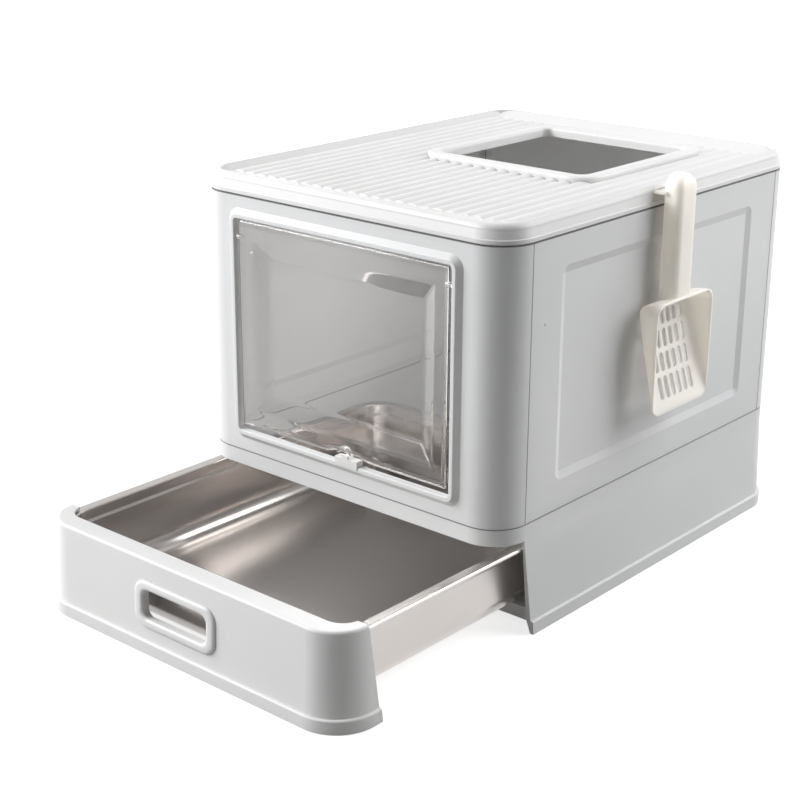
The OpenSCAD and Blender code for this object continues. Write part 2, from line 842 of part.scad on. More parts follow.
// Screw bosses that reach back to the tray's front wall, and stiffening ribs under the ledge
module front_bosses() {
    for (s = [-1, 1]) {
        translate([s * screw_x, (shut_front_y + boss_end_y) / 2, screw_z]) rotate([90, 0, 0])
            cylinder(h = boss_end_y - shut_front_y, r = boss_r, center = true, $fn = 32);
        front_rib(s * screw_x, screw_z);
        front_rib(s * screw_x * 0.6, skirt_h + 10);
    }
}

// Rib inside the front wall, from height z up to the ledge
module front_rib(x, z) {
    translate([x - 1, shut_front_y + 1.4, z])
        cube([2, rib_end_y - shut_front_y - 1.4, ledge_z + 1 - z]);
}

module handle_hole() {
    grow = 2 * (sleeve_t + fit_gap);
    translate([grip_x, grip_face_y, grip_z]) rotate([-lean, 0, 0]) upright()
        linear_extrude(30, center = true)
            round_rect(grip_w + grow, grip_h + grow, grip_r + sleeve_t);
}

// Bezel of the finger opening: a rounded rim outside and a sleeve through the wall
module drawer_handle() {
    z0 = fit_gap / 2;
    in_round = 3;
    out_round = grip_out - z0;
    color(lid_white) translate([grip_x, grip_face_y - drawer_out, grip_z]) rotate([-lean, 0, 0]) upright() {
        difference() {
            union() {
                plate(bezel_w - 2 * out_round, bezel_h - 2 * out_round, bezel_r - out_round, z0, grip_out);
                swept(bezel_w, bezel_h, bezel_r)
                    polygon(concat([[-out_round - eps, z0]], arc_pts(-out_round, z0, out_round, 0, 90, 6),
                        [[-out_round - eps, grip_out]]));
            }
            plate(grip_w + 2 * in_round, grip_h + 2 * in_round, grip_r + in_round, z0 - 1, grip_out + 1);
        }
        swept(grip_w, grip_h, grip_r)
            polygon(concat(
                [[0, -sleeve_l]],
                arc_pts(in_round, grip_out - in_round, in_round, 180, 90, 4),
                [[in_round + eps, grip_out], [in_round + eps, z0], [sleeve_t, z0], [sleeve_t, -sleeve_l]]
            ));
    }
}

// Section of the tray's wall: bottom bend, wall, step band, flange and rolled hem
module tray_profile() {
    cx = -tray_step - tray_bend_r;
    cz = tray_z + tray_bend_r;
    lip_r = 2;
    band_z = flange_top - tray_band_h;
    polygon(concat(
        arc_pts(cx, cz, tray_bend_r, -90, 0, 8),
        [
            [-tray_step, band_z - tray_step], [0, band_z], [0, flange_top - steel_t],
            [flange_w - lip_r, flange_top - steel_t], [flange_w - steel_t, flange_top - hem_drop],
            [flange_w, flange_top - hem_drop]
        ],
        arc_pts(flange_w - lip_r, flange_top - lip_r, lip_r, 0, 90, 4),
        [
            [-steel_t, flange_top], [-steel_t, band_z + steel_t / 2],
            [-tray_step - steel_t, band_z - tray_step + steel_t / 2]
        ],
        arc_pts(cx, cz, tray_bend_r - steel_t, 0, -90, 8)
    ));
}

module steel_tray() {
    flat_in = tray_step + tray_bend_r;
    color(steel_grey) translate([0, tray_yc - drawer_out, 0]) difference() {
        union() {
            swept(tray_w, tray_l, tray_corner_r) tray_profile();
            plate(tray_w - 2 * flat_in, tray_l - 2 * flat_in, tray_corner_r - flat_in,
                tray_z, tray_z + steel_t);
        }
        for (s = [-1, 1]) translate([s * screw_x, tray_front_y - tray_yc, screw_z]) rotate([90, 0, 0])
            cylinder(h = 6 * steel_t, r = screw_r + 0.2, center = true, $fn = 24);
    }
}

// Two pan-head screws from inside the tray, through its front wall into the drawer front's bosses
module tray_screws() {
    head_h = 1.8;
    head_y = tray_front_y + tray_step + steel_t + 0.1 - drawer_out;
    color(steel_grey) for (s = [-1, 1]) translate([s * screw_x, head_y, screw_z]) rotate([90, 0, 0]) {
        translate([0, 0, -head_h]) cylinder(h = head_h, r = screw_head_r, $fn = 32);
        translate([0, 0, -eps]) cylinder(h = screw_l, r = screw_r, $fn = 24);
    }
}

// ---------------------------------------------------------------- scoop

// Distance of the bowl's back from the rim's back edge, at a share t of the way down the curve
function bowl_curve(t) = bowl_d * (0.6 * t + 0.4 * t * t);

// Side view of the bowl's back: x is the distance from the flat top part, y is height below the top
function bowl_back(shift, n = 12) = [
    for (i = [0:n]) let (t = i / n) [bowl_curve(t) + shift, -bowl_flat - (bowl_l - bowl_flat) * t]
];

module bowl_block(inset) {
    intersection() {
        translate([0, bowl_w, 0]) rotate([90, 0, 0]) linear_extrude(2 * bowl_w) children();
        translate([-1, 0, -bowl_l / 2]) rotate([90, 0, 90]) linear_extrude(bowl_d + 3)
            round_rect(bowl_w - 2 * inset, bowl_l - 2 * inset, bowl_r - inset);
    }
}

module bowl() {
    translate([bowl_back_x, 0, bowl_top]) difference() {
        bowl_block(0) polygon(concat([[bowl_d, 2], [0, 2]], bowl_back(0)));
        bowl_block(bowl_t) polygon(concat(
            [[bowl_d + 6, 4], [bowl_t, 4]], bowl_back(bowl_t), [[bowl_d + 6, -bowl_l]]
        ));
        sift_slots();
    }
}

// Rows of round-ended slots through the bowl's back, a short row above the long ones
module sift_slots() {
    translate([-1, 0, 0]) rotate([90, 0, 90]) linear_extrude(bowl_d - 0.5)
        for (col = [0:slot_cols - 1]) translate([(col - (slot_cols - 1) / 2) * slot_pitch, -slot_top]) {
            sift_slot(slot_short_l);
            for (row = [0:slot_rows - 1])
                translate([0, -slot_short_l - slot_gap - row * (slot_l + slot_gap)]) sift_slot(slot_l);
        }
}

// One slot, hanging down from y = 0
module sift_slot(l) {
    translate([-slot_w / 2, -l + slot_w / 2]) square([slot_w, l - slot_w]);
    translate([0, -slot_w / 2]) circle(slot_w / 2, $fn = 20);
    translate([0, -l + slot_w / 2]) circle(slot_w / 2, $fn = 20);
}

// Handle: a bar with round edges and a domed top, hollow at the back, with a lip behind its lower part
module scoop_bar() {
    bar_h = grip_bar_l + bowl_t;
    round_h = bar_h + bar_run_on;
    round_t = grip_bar_t + 2 * bar_edge_r;
    translate([bar_back_x, 0, bowl_top - bowl_t]) difference() {
        union() {
            intersection() {
                linear_extrude(bar_h) bar_section();
                translate([0, 0, bar_h - round_h / 2]) rotate([90, 0, 90]) linear_extrude(grip_bar_t)
                    round_rect(grip_bar_w, round_h, grip_bar_w / 2 - 0.5);
                translate([grip_bar_t - round_t / 2, 0, bar_h - round_h / 2]) rotate([90, 0, 0])
                    linear_extrude(grip_bar_w, center = true) round_rect(round_t, round_h, bar_top_r);
            }
            translate([-3, -grip_bar_w / 2 + 1, 0]) cube([3 + eps, grip_bar_w - 2, bar_lip_h]);
        }
        translate([-4, -grip_bar_w / 2 + 3, 12]) cube([grip_bar_t, grip_bar_w - 6, bar_lip_h - 14]);
    }
}

// Section of the handle, flat at the back
module bar_section() {
    r = bar_edge_r;
    translate([0, -grip_bar_w / 2]) square([grip_bar_t - r, grip_bar_w]);
    translate([0, -grip_bar_w / 2 + r]) square([grip_bar_t, grip_bar_w - 2 * r]);
    for (s = [-1, 1]) translate([grip_bar_t - r, s * (grip_bar_w / 2 - r)]) circle(r, $fn = round_fn);
}

// Tongue that reaches from the handle's back into the slot in the lid's rim
module scoop_hook() {
    tip_x = body_w / 2 + fit_gap - hook_in;
    translate([tip_x, -hook_w / 2, hook_top - hook_t]) cube([bar_back_x + 1 - tip_x, hook_w, hook_t]);
}

module litter_scoop() {
    color(scoop_white) union() {
        bowl();
        scoop_bar();
        scoop_hook();
    }
}

base_frame();
front_panel();
back_panel();
left_panel();
right_panel();
lid();
flap_door();
door_latch();
drawer_front();
drawer_handle();
steel_tray();
tray_screws();
litter_scoop();
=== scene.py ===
"""Drawer litter box: a moulded cabin with a clear flap door and a fluted lid, a front drawer that carries a
pressed steel tray, and a scoop hung on the lid. Metres, +Z up, +X right, +Y to the back."""

import math

import bpy
import numpy as np
from bpy.props import FloatProperty, FloatVectorProperty, PointerProperty
from mathutils import Matrix, Vector


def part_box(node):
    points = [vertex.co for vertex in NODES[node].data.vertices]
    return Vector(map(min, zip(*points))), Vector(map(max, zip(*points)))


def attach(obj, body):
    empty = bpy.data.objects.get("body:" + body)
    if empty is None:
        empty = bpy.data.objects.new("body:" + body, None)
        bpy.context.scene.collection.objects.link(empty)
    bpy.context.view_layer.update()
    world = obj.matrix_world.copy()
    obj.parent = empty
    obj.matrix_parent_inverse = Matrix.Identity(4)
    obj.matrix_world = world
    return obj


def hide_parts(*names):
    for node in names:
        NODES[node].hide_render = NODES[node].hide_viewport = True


bl_info = {
    "name": "Drawer Litter Box",
    "version": (1, 0, 0),
    "blender": (4, 5, 0),
    "location": "View3D > Sidebar > Litter Box",
    "description": "Finishes and smooth parts for a litter box with a steel tray drawer",
    "category": "Object",
}

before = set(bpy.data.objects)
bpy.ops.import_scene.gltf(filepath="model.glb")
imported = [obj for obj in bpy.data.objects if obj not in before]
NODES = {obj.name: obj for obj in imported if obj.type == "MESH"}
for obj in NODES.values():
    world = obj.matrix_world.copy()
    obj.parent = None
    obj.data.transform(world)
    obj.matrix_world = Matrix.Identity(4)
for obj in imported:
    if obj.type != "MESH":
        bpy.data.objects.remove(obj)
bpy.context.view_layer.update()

# Places on the part that no node's box gives, in metres.
LID_EDGE = 0.3903  # height of the lid's lower edge
UNDER_LID = (0.3884, 0.3891)  # heights between which the painted shade on the panels under the lid grows
DRAWER_WALL = (-0.475595, 0.0515)  # y and z of the drawer front's face in the middle of the finger opening
WALL_LEAN = math.atan(0.003 / 0.079)  # it leans in by 3 mm over the 79 mm from its skirt to its ledge
LATCH_X = 0.0095  # middle of the latch and of the thumb arch over it
HOOK = (0.212, 0.4039)  # outer end and middle height of the scoop's tongue on the lid


# ---------------------------------------------------------------- shader maths

class Sock:
    """One output socket of a shader tree. Its operators add Math nodes."""

    def __init__(self, tree, socket):
        self.tree = tree
        self.socket = socket

    def _math(self, operation, *values):
        return self.tree.node("ShaderNodeMath", {"operation": operation}, dict(enumerate(values)))

    def __add__(self, other):
        return self._math("ADD", self, other)

    def __radd__(self, other):
        return self._math("ADD", other, self)

    def __sub__(self, other):
        return self._math("SUBTRACT", self, other)

    def __rsub__(self, other):
        return self._math("SUBTRACT", other, self)

    def __mul__(self, other):
        return self._math("MULTIPLY", self, other)

    def __rmul__(self, other):
        return self._math("MULTIPLY", other, self)

    def absolute(self):
        return self._math("ABSOLUTE", self)

    def maximum(self, other):
        return self._math("MAXIMUM", self, other)

    def smooth(self, low, high):
        """0 below low, 1 above high, and a soft step between them."""
        return self.tree.node("ShaderNodeMapRange", {"interpolation_type": "SMOOTHSTEP"},
                              {"Value": self, "From Min": low, "From Max": high})


class Tree:
    """Node tree of one material or world, with one method that adds any node."""

    def __init__(self, owner):
        owner.use_nodes = True
        self.tree = owner.node_tree
        self.tree.nodes.clear()

    def node(self, kind, settings=None, inputs=None, out=0):
        """Adds a node of that kind. Settings go first, such as a Math node's operation. Inputs are values or
        links of its sockets. The result is one output socket, or None for a node that has none."""
        made = self.tree.nodes.new(kind)
        for name, value in (settings or {}).items():
            setattr(made, name, value)
        for name, value in (inputs or {}).items():
            if isinstance(value, Sock):
                self.tree.links.new(value.socket, made.inputs[name])
            else:
                made.inputs[name].default_value = value
        return Sock(self, made.outputs[out]) if made.outputs else None

    def place(self, scale=(1, 1, 1)):
        """Object coordinates times a scale along each axis."""
        coords = self.node("ShaderNodeTexCoord", out="Object")
        return self.node("ShaderNodeMapping", {}, {"Vector": coords, "Scale": scale})

    def axes(self, names):
        """The named Object coordinates, such as "YZ", one socket each."""
        at = self.node("ShaderNodeTexCoord", out="Object")
        return [self.node("ShaderNodeSeparateXYZ", {}, {0: at}, out=axis) for axis in names]

    def noise(self, vector, scale, detail):
        """Soft noise from 0 to 1 with an average of a half."""
        return self.node("ShaderNodeTexNoise", {}, {"Vector": vector, "Scale": scale, "Detail": detail})

    def blend(self, amount, low, high):
        """Mixes two colours by an amount."""
        return self.node("ShaderNodeMix", {"data_type": "RGBA"}, {0: amount, 6: low, 7: high}, out=2)

    def bump(self, height, strength, distance, **more):
        """Normal of a surface that stands up by a height times a distance."""
        return self.node("ShaderNodeBump", {}, {"Height": height, "Strength": strength, "Distance": distance,
                                                **more})

    def mixed(self, amount, low, high):
        """Mixes two shaders by an amount."""
        return self.node("ShaderNodeMixShader", {}, {0: amount, 1: low, 2: high})

    def seen(self):
        """1 for what the eye sees, straight, in mirrors or through clear sheet, 0 for other light."""
        eye, mirror, sheet = (self.node("ShaderNodeLightPath", out=name)
                              for name in ("Is Camera Ray", "Is Glossy Ray", "Is Transmission Ray"))
        return eye.maximum(mirror).maximum(sheet)

    def surface(self, shader, output="ShaderNodeOutputMaterial"):
        """Puts a shader on the output."""
        self.node(output, {}, {"Surface": shader})


def rgba(colour, gain=1.0):
    """Opaque colour with its channels times a gain, 1 at most."""
    return tuple(min(1.0, c * gain) for c in colour[:3]) + (1.0,)


# ---------------------------------------------------------------- finishes

def clear_of(distance):
    """0 within 0.4 mm of a joint and 1 from 0.9 mm away."""
    return distance.absolute().smooth(0.0004, 0.0009)


def shell_painted_shade(t):
    """Mask of painted shade in the cabin's joints: 1 in a narrow band where the panels meet the lid and the
    base, and along the upright joints of the side panels, 0 elsewhere."""
    y, z = t.axes("YZ")
    low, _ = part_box("right_panel")
    upright = clear_of(y.absolute() - abs(low[1]))
    below_panels = 1 - z.smooth(low[2] - 0.001, low[2])
    return 1 - (1 - z.smooth(*UNDER_LID)) * clear_of(z - low[2]) * upright.maximum(below_panels)


def lid_painted_shade(t):
    """Mask of painted shade under the lid: 1 in a narrow band at its lower edge."""
    return 1 - clear_of(t.axes("Z")[0] - LID_EDGE)


def moulded_plastic(name, colour, rough, grain, glow, through, painted_shade=None):
    """Satin moulded plastic: a very fine spark-eroded grain, slow flow marks in the gloss and a faint
    unevenness of the colour. Where a mask is given, painted shade darkens it to 0.3 of the colour there.
    Light passes a little way into it, and a share of it goes through the wall and comes out warmer."""
    material = bpy.data.materials.new(name)
    t = Tree(material)
    at = t.place()
    flow = t.noise(at, 9.0, 2.0)
    fine = t.noise(at, 1500.0, 1.0)
    tone = t.blend(flow.smooth(0.3, 0.7), rgba(colour, 0.985), rgba(colour, 1.01))
    # painted shade: in the mask's band the colour is blended down to 0.3 of itself
    if painted_shade:
        tone = t.blend(painted_shade(t), tone, rgba(colour, 0.3))
    gloss = rough + (flow - 0.5) * 0.06 + (fine - 0.5) * 0.08
    body = t.node("ShaderNodeBsdfPrincipled", {}, {
        "Base Color": tone, "Roughness": gloss, "IOR": 1.49, "Specular IOR Level": 0.45,
        "Subsurface Weight": glow, "Subsurface Radius": (1.0, 0.95, 0.88), "Subsurface Scale": 0.003,
        "Normal": t.bump(fine, grain, 0.00006),
    })
    warm = tuple(c * tint for c, tint in zip(colour, (1.0, 0.975, 0.93)))
    lit = t.node("ShaderNodeBsdfTranslucent", {}, {"Color": rgba(warm)})
    t.surface(t.mixed(through, body, lit))
    return material


def clear_sheet(name, colour, rough, haze):
    """Polished clear plastic with a milky haze and faint drawn waves in its surface. The haze is the share
    of light that scatters in the sheet. Lamp light passes straight through it."""
    material = bpy.data.materials.new(name)
    t = Tree(material)
    waves = t.noise(t.place(), 14.0, 1.0)
    sheet = t.node("ShaderNodeBsdfPrincipled", {}, {
        "Base Color": t.blend(waves, rgba(colour, 0.99), rgba(colour)), "Roughness": rough + waves * 0.01,
        "IOR": 1.45, "Transmission Weight": 1.0 - haze, "Normal": t.bump(waves, 0.05, 0.0008),
    })
    passing = t.node("ShaderNodeBsdfTransparent", {}, {"Color": rgba(colour)})
    t.surface(t.mixed(t.node("ShaderNodeLightPath", out="Is Shadow Ray"), sheet, passing))
    return material


def brushed_sheet(name, colour, rough, length, waviness):
    """Stainless sheet: hair-fine rolling lines along Y, of the given length, a cloudy sheen and the slow
    waviness of pressed metal."""
    material = bpy.data.materials.new(name)
    t = Tree(material)
    lines = t.noise(t.place((700, 1.0 / length, 700)), 1.0, 2.0)
    cloud = t.noise(t.place(), 5.0, 3.0)
    dent = t.noise(t.place((1, 0.6, 1)), 11.0, 1.0)
    tone = t.blend(cloud.smooth(0.3, 0.7), rgba(colour, 0.94), rgba(colour, 1.04))
    t.surface(t.node("ShaderNodeBsdfPrincipled", {}, {
        "Base Color": tone, "Metallic": 1.0, "Roughness": rough + (lines - 0.5) * 0.10 + (cloud - 0.5) * 0.05,
        "Normal": t.bump(lines, 0.25, 0.00002, Normal=t.bump(dent, waviness, 0.004)),
    }))
    return material


def finish_nodes(material, *names):
    """Gives the named CAD nodes a material."""
    for name in names:
        mesh = NODES[name].data
        mesh.materials.clear()
        mesh.materials.append(material)


# ---------------------------------------------------------------- surfaces

def rounded_path(width, length, radius, bend_steps, run_steps=1):
    """Closed path round a rounded rectangle, as corner centres C and outward unit normals N. A point at
    offset u from the outline is C + (radius + u) N. Along a bend C stands still and N turns through 90
    degrees, along a run N is constant and C moves straight."""
    hx, hy = width / 2 - radius, length / 2 - radius
    corners = np.array([(hx, hy), (-hx, hy), (-hx, -hy), (hx, -hy)])
    turn = np.linspace(0, math.pi / 2, bend_steps + 1)
    angles = turn[None, :] + np.arange(4)[:, None] * math.pi / 2
    normals = np.stack([np.cos(angles), np.sin(angles)], -1)
    centres = np.repeat(corners[:, None, :], bend_steps + 1, 1)
    if run_steps > 1:
        share = (np.arange(1, run_steps) / run_steps)[None, :, None]
        step = np.roll(corners, -1, 0)[:, None, :]
        between = corners[:, None, :] * (1 - share) + step * share
        centres = np.concatenate([centres, between], 1)
        normals = np.concatenate([normals, np.repeat(normals[:, -1:, :], run_steps - 1, 1)], 1)
    return centres.reshape(-1, 2), normals.reshape(-1, 2)


def arc(cx, cy, radius, a0, a1, steps):
    """Points (cx + r cos a, cy + r sin a) for angles a0 to a1 in degrees."""
    a = np.radians(np.linspace(a0, a1, steps + 1))
    return np.stack([cx + radius * np.cos(a), cy + radius * np.sin(a)], -1)


def carried(profile, centres, normals, radius):
    """Profile (u, z) carried round a path: point (i, j) is C_i + (radius + u_j) N_i at height z_j."""
    u, z = profile[:, 0], profile[:, 1]
    flat = centres[:, None, :] + (radius + u)[None, :, None] * normals[:, None, :]
    height = np.broadcast_to(z[None, :, None], flat.shape[:2] + (1,))
    return np.concatenate([flat, height], -1)


def grid_faces(rows, cols, wrap_rows=False, wrap_cols=False, start=0):
    """Quads of a grid of points, row by row. A wrapped side joins its last line to its first."""
    i = np.arange(rows if wrap_rows else rows - 1)
    j = np.arange(cols if wrap_cols else cols - 1)
    i, j = np.meshgrid(i, j, indexing="ij")
    i1, j1 = (i + 1) % rows, (j + 1) % cols
    quads = np.stack([i * cols + j, i1 * cols + j, i1 * cols + j1, i * cols + j1], -1)
    return quads.reshape(-1, 4) + start


def solid(name, points, quads, caps=(), angle=35.0):
    """Mesh object from points, quads and cap polygons, smooth except along edges sharper than the angle."""
    mesh = bpy.data.meshes.new(name)
    faces = [list(map(int, q)) for q in quads] + [list(map(int, c)) for c in caps]
    mesh.from_pydata(points.reshape(-1, 3).tolist(), [], faces)
    mesh.validate()
    made = bpy.data.objects.new(name, mesh)
    bpy.context.scene.collection.objects.link(made)
    mesh.polygons.foreach_set("use_smooth", np.ones(len(mesh.polygons), dtype=bool))
    bpy.context.view_layer.objects.active = made
    bpy.ops.object.select_all(action="DESELECT")
    made.select_set(True)
    bpy.ops.object.mode_set(mode="EDIT")
    bpy.ops.mesh.select_all(action="SELECT")
    bpy.ops.mesh.remove_doubles(threshold=1e-7)
    bpy.ops.mesh.normals_make_consistent(inside=False)
    bpy.ops.object.mode_set(mode="OBJECT")
    mesh.set_sharp_from_angle(angle=math.radians(angle))
    return made


def joined(*parts):
    """Puts several (points, quads, caps) sets into one, with their indices moved on."""
    points, quads, caps, start = [], [], [], 0
    for part_points, part_quads, part_caps in parts:
        points.append(part_points.reshape(-1, 3))
        quads.append(part_quads + start)
        caps.extend(np.asarray(cap) + start for cap in part_caps)
        start += len(points[-1])
    return np.concatenate(points), np.concatenate(quads), caps


def slab(front, back):
    """Closed sheet between two grids of the same shape, with a strip round their outline."""
    rows, cols = front.shape[:2]
    near, far = grid_faces(rows, cols), grid_faces(rows, cols, start=rows * cols)
    index = np.arange(rows * cols).reshape(rows, cols)
    loop = np.concatenate([index[0, :-1], index[:-1, -1], index[-1, :0:-1], index[:0:-1, 0]])
    after = np.roll(loop, -1)
    edge = np.stack([loop, after, after + rows * cols, loop + rows * cols], -1)
    return np.stack([front, back]), np.concatenate([near, far[:, ::-1], edge]), []


def tube(points):
    """Closed skin over a row of closed sections, with a cap on the first and the last one."""
    rows, cols = points.shape[:2]
    ring = np.arange(cols)
    return points, grid_faces(rows, cols, wrap_cols=True), [ring, ring[::-1] + (rows - 1) * cols]


def lathe_x(profile, centre, steps=24):
    """Round piece about an axis along X: point (i, j) is centre + (x_j, r_j cos a_i, r_j sin a_i)."""
    a = np.linspace(0, 2 * math.pi, steps, endpoint=False)[:, None]
    x, r = profile[None, :, 0], profile[None, :, 1]
    points = np.stack([x + 0 * a, r * np.cos(a), r * np.sin(a)], -1) + np.array(centre)
    ring = np.arange(steps) * len(profile)
    return points, grid_faces(steps, len(profile), wrap_rows=True), [ring, ring[::-1] + len(profile) - 1]


def rounded_section(wide, deep, power=0.5, steps=20):
    """Closed loop (wide/2 sgn(cos a) |cos a|^power, deep/2 sgn(sin a) |sin a|^power)."""
    a = np.linspace(0, 2 * math.pi, steps, endpoint=False)
    across, along = np.cos(a), np.sin(a)
    return np.stack([wide / 2 * np.sign(across) * np.abs(across) ** power,
                     deep / 2 * np.sign(along) * np.abs(along) ** power], -1)


def both_ways(half, *marks, middle=12):
    """Grid lines from -half to half that stand closer near both edges. A mark (distance from the edge, lines)
    spreads its lines from the mark before it up to its distance, and the rest has the middle's lines."""
    steps = [np.linspace(start, end, count) for (start, _), (end, count) in zip(((0, 0), *marks), marks)]
    left = np.unique(np.concatenate(steps + [np.linspace(marks[-1][0], half, middle)]).round(7)) - half
    return np.unique(np.concatenate([left, -left]).round(7))


def settle(made, material, body, slot, *replaced):
    """Gives a piece its finish and its CAD body, and hides the nodes that it stands for. The slot is not
    used.
    """
    made.data.materials.append(material)
    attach(made, body)
    if replaced:
        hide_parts(*replaced)


# ---------------------------------------------------------------- properties

class PlasticFinish(bpy.types.PropertyGroup):
    """Colours and gloss of the moulded parts."""
    shell: FloatVectorProperty(name="Shell", description="Colour of the base and the panels",
                               subtype="COLOR", size=3, min=0, max=1, default=(0.748, 0.756, 0.763))
    lid: FloatVectorProperty(name="Lid", description="Colour of the lid, drawer front and latch",
                             subtype="COLOR", size=3, min=0, max=1, default=(0.785, 0.788, 0.788))
    scoop: FloatVectorProperty(name="Scoop", description="Colour of the scoop",
                               subtype="COLOR", size=3, min=0, max=1, default=(0.985, 0.968, 0.935))
    door: FloatVectorProperty(name="Door tint", description="Tint of the clear door",
                              subtype="COLOR", size=3, min=0, max=1, default=(0.945, 0.935, 0.93))
    haze: FloatProperty(name="Door haze", description="Share of light that scatters in the clear door",
                        min=0, max=1, default=0.015)
    gloss: FloatProperty(name="Roughness", description="Roughness of the satin plastic",
                         min=0.1, max=0.8, default=0.38)
    grain: FloatProperty(name="Grain", description="Strength of the moulded grain",
                         min=0, max=1, default=0.25)
    glow: FloatProperty(name="Glow", description="Share of the light that travels inside the plastic",
                        min=0, max=1, default=0.12)
    through: FloatProperty(name="Let through", description="Share of the light that goes through a wall",
                           min=0, max=0.5, default=0.15)


class SteelFinish(bpy.types.PropertyGroup):
    """Colour and surface of the steel tray and its screws."""
    sheet: FloatVectorProperty(name="Sheet", description="Colour of the stainless sheet",
                               subtype="COLOR", size=3, min=0, max=1, default=(0.54, 0.51, 0.49))
    screw: FloatVectorProperty(name="Screw", description="Colour of the screws",
                               subtype="COLOR", size=3, min=0, max=1, default=(0.50, 0.50, 0.50))
    rough: FloatProperty(name="Roughness", description="Roughness of the brushed sheet",
                         min=0.05, max=0.6, default=0.24)
    line: FloatProperty(name="Line length", description="Length of the rolling lines",
                        unit="LENGTH", min=0.01, max=1, default=0.12)
    wave: FloatProperty(name="Waviness", description="Strength of the sheet's slow waves",
                        min=0, max=1, default=0.12)


class TraySizes(bpy.types.PropertyGroup):
    """Sizes of the pressed tray's smooth surface."""
    gauge: FloatProperty(name="Gauge", description="Thickness of the sheet", unit="LENGTH",
                         min=0.0006, max=0.002, default=0.001)
    flange: FloatProperty(name="Flange", description="Width of the flange", unit="LENGTH",
                          min=0.006, max=0.016, default=0.0115)
    corner: FloatProperty(name="Corner", description="Radius of the upright corners", unit="LENGTH",
                          min=0.014, max=0.04, default=0.027)
    cove: FloatProperty(name="Cove", description="Radius of the bottom bend", unit="LENGTH",
                        min=0.006, max=0.026, default=0.021)
    band: FloatProperty(name="Band", description="Height of the step band below the flange", unit="LENGTH",
                        min=0.006, max=0.02, default=0.012)
    step: FloatProperty(name="Step", description="Depth of the step band", unit="LENGTH",
                        min=0, max=0.004, default=0.0015)
    hem: FloatProperty(name="Hem", description="Height of the rolled hem", unit="LENGTH",
                       min=0.001, max=0.006, default=0.003)


class StageSettings(bpy.types.PropertyGroup):
    """Camera, lamps and floor."""
    lens: FloatProperty(name="Lens", description="Focal length in millimetres on a 36 mm sensor",
                        min=20, max=200, default=74.745)
    place: FloatVectorProperty(name="Camera", description="Place of the camera", subtype="TRANSLATION",
                               unit="LENGTH", size=3, default=(1.0492, -1.3803, 0.746))
    aim: FloatVectorProperty(name="Aim", description="Azimuth, elevation and roll of the camera in degrees",
                             size=3, default=(40.834, 19.353, 0.331))
    left: FloatProperty(name="Left lamp", description="Power of the soft lamp at the front left in watts",
                        min=0, max=300, default=188)
    right: FloatProperty(name="Right lamp", description="Power of the soft lamp at the back right in watts",
                         min=0, max=300, default=54)
    top: FloatProperty(name="Top lamp", description="Power of the soft lamp above in watts",
                       min=0, max=300, default=15)
    fill: FloatProperty(name="Fill", description="Strength of the even light from all round",
                        min=0, max=2, default=0.08)


class DoorSizes(bpy.types.PropertyGroup):
    """Sizes of the clear door's smooth surface."""
    width: FloatProperty(name="Width", description="Width of the sheet", unit="LENGTH",
                         min=0.2, max=0.3, default=0.272)
    gauge: FloatProperty(name="Gauge", description="Thickness of the sheet", unit="LENGTH",
                         min=0.002, max=0.004, default=0.003)
    border: FloatVectorProperty(name="Borders", description="Flat border beside, above and below the dish",
                                unit="LENGTH", size=3, default=(0.0175, 0.020, 0.014))
    slope: FloatProperty(name="Slope", description="Width of the dish's sloped sides", unit="LENGTH",
                         min=0.005, max=0.03, default=0.018)
    depth: FloatProperty(name="Depth", description="Depth of the dish", unit="LENGTH",
                         min=0.002, max=0.012, default=0.008)
    soft: FloatProperty(name="Softness", description="Rounding of the dish's edges", unit="LENGTH",
                        min=0.0005, max=0.008, default=0.0012)
    bead: FloatProperty(name="Bead", description="Height of the fine bead along the sheet's edge",
                        unit="LENGTH", min=0, max=0.002, default=0.0006)


class GripSizes(bpy.types.PropertyGroup):
    """Sizes of the drawer's finger opening."""
    opening: FloatVectorProperty(name="Opening", description="Width, height and corner radius of the opening",
                                 unit="LENGTH", size=3, default=(0.086, 0.029, 0.008))
    rim: FloatVectorProperty(name="Rim", description="Width, height and corner radius of the rim",
                             unit="LENGTH", size=3, default=(0.109, 0.047, 0.014))
    out: FloatProperty(name="Stand", description="How far the rim stands out", unit="LENGTH",
                       min=0.001, max=0.006, default=0.003)
    back: FloatProperty(name="Sleeve", description="How far the sleeve reaches behind the wall's face",
                        unit="LENGTH", min=0.003, max=0.01, default=0.006)


class ScoopSizes(bpy.types.PropertyGroup):
    """Sizes of the scoop's smooth surface."""
    bowl: FloatVectorProperty(name="Bowl", description="Width, length and depth of the bowl", unit="LENGTH",
                              size=3, default=(0.103, 0.117, 0.0285))
    corner: FloatProperty(name="Corner", description="Corner radius of the rim", unit="LENGTH",
                          min=0.008, max=0.02, default=0.013)
    gauge: FloatProperty(name="Gauge", description="Wall thickness", unit="LENGTH",
                         min=0.001, max=0.003, default=0.002)
    grip: FloatVectorProperty(name="Handle", description="Width, thickness and edge radius of the handle",
                              unit="LENGTH", size=3, default=(0.034, 0.0215, 0.008))
    pitch: FloatProperty(name="Slot spacing", description="Spacing of the slots in a row", unit="LENGTH",
                         min=0.009, max=0.012, default=0.0107)
    slot: FloatProperty(name="Slot width", description="Width of a slot", unit="LENGTH",
                        min=0.004, max=0.008, default=0.0070)


# ---------------------------------------------------------------- pieces

class LITTERBOX_OT_mould_shell(bpy.types.Operator):
    """Give the base and the four panels their satin plastic"""
    bl_idname = "litterbox.mould_shell"
    bl_label = "Mould the Shell"

    def execute(self, context):
        look = context.scene.litterbox_plastic
        # the shell's colour gets painted shade in its joints
        material = moulded_plastic("shell plastic", look.shell, look.gloss, look.grain, look.glow,
                                   look.through, shell_painted_shade)
        finish_nodes(material, "base_frame", "front_panel", "back_panel", "left_panel", "right_panel")
        return {"FINISHED"}


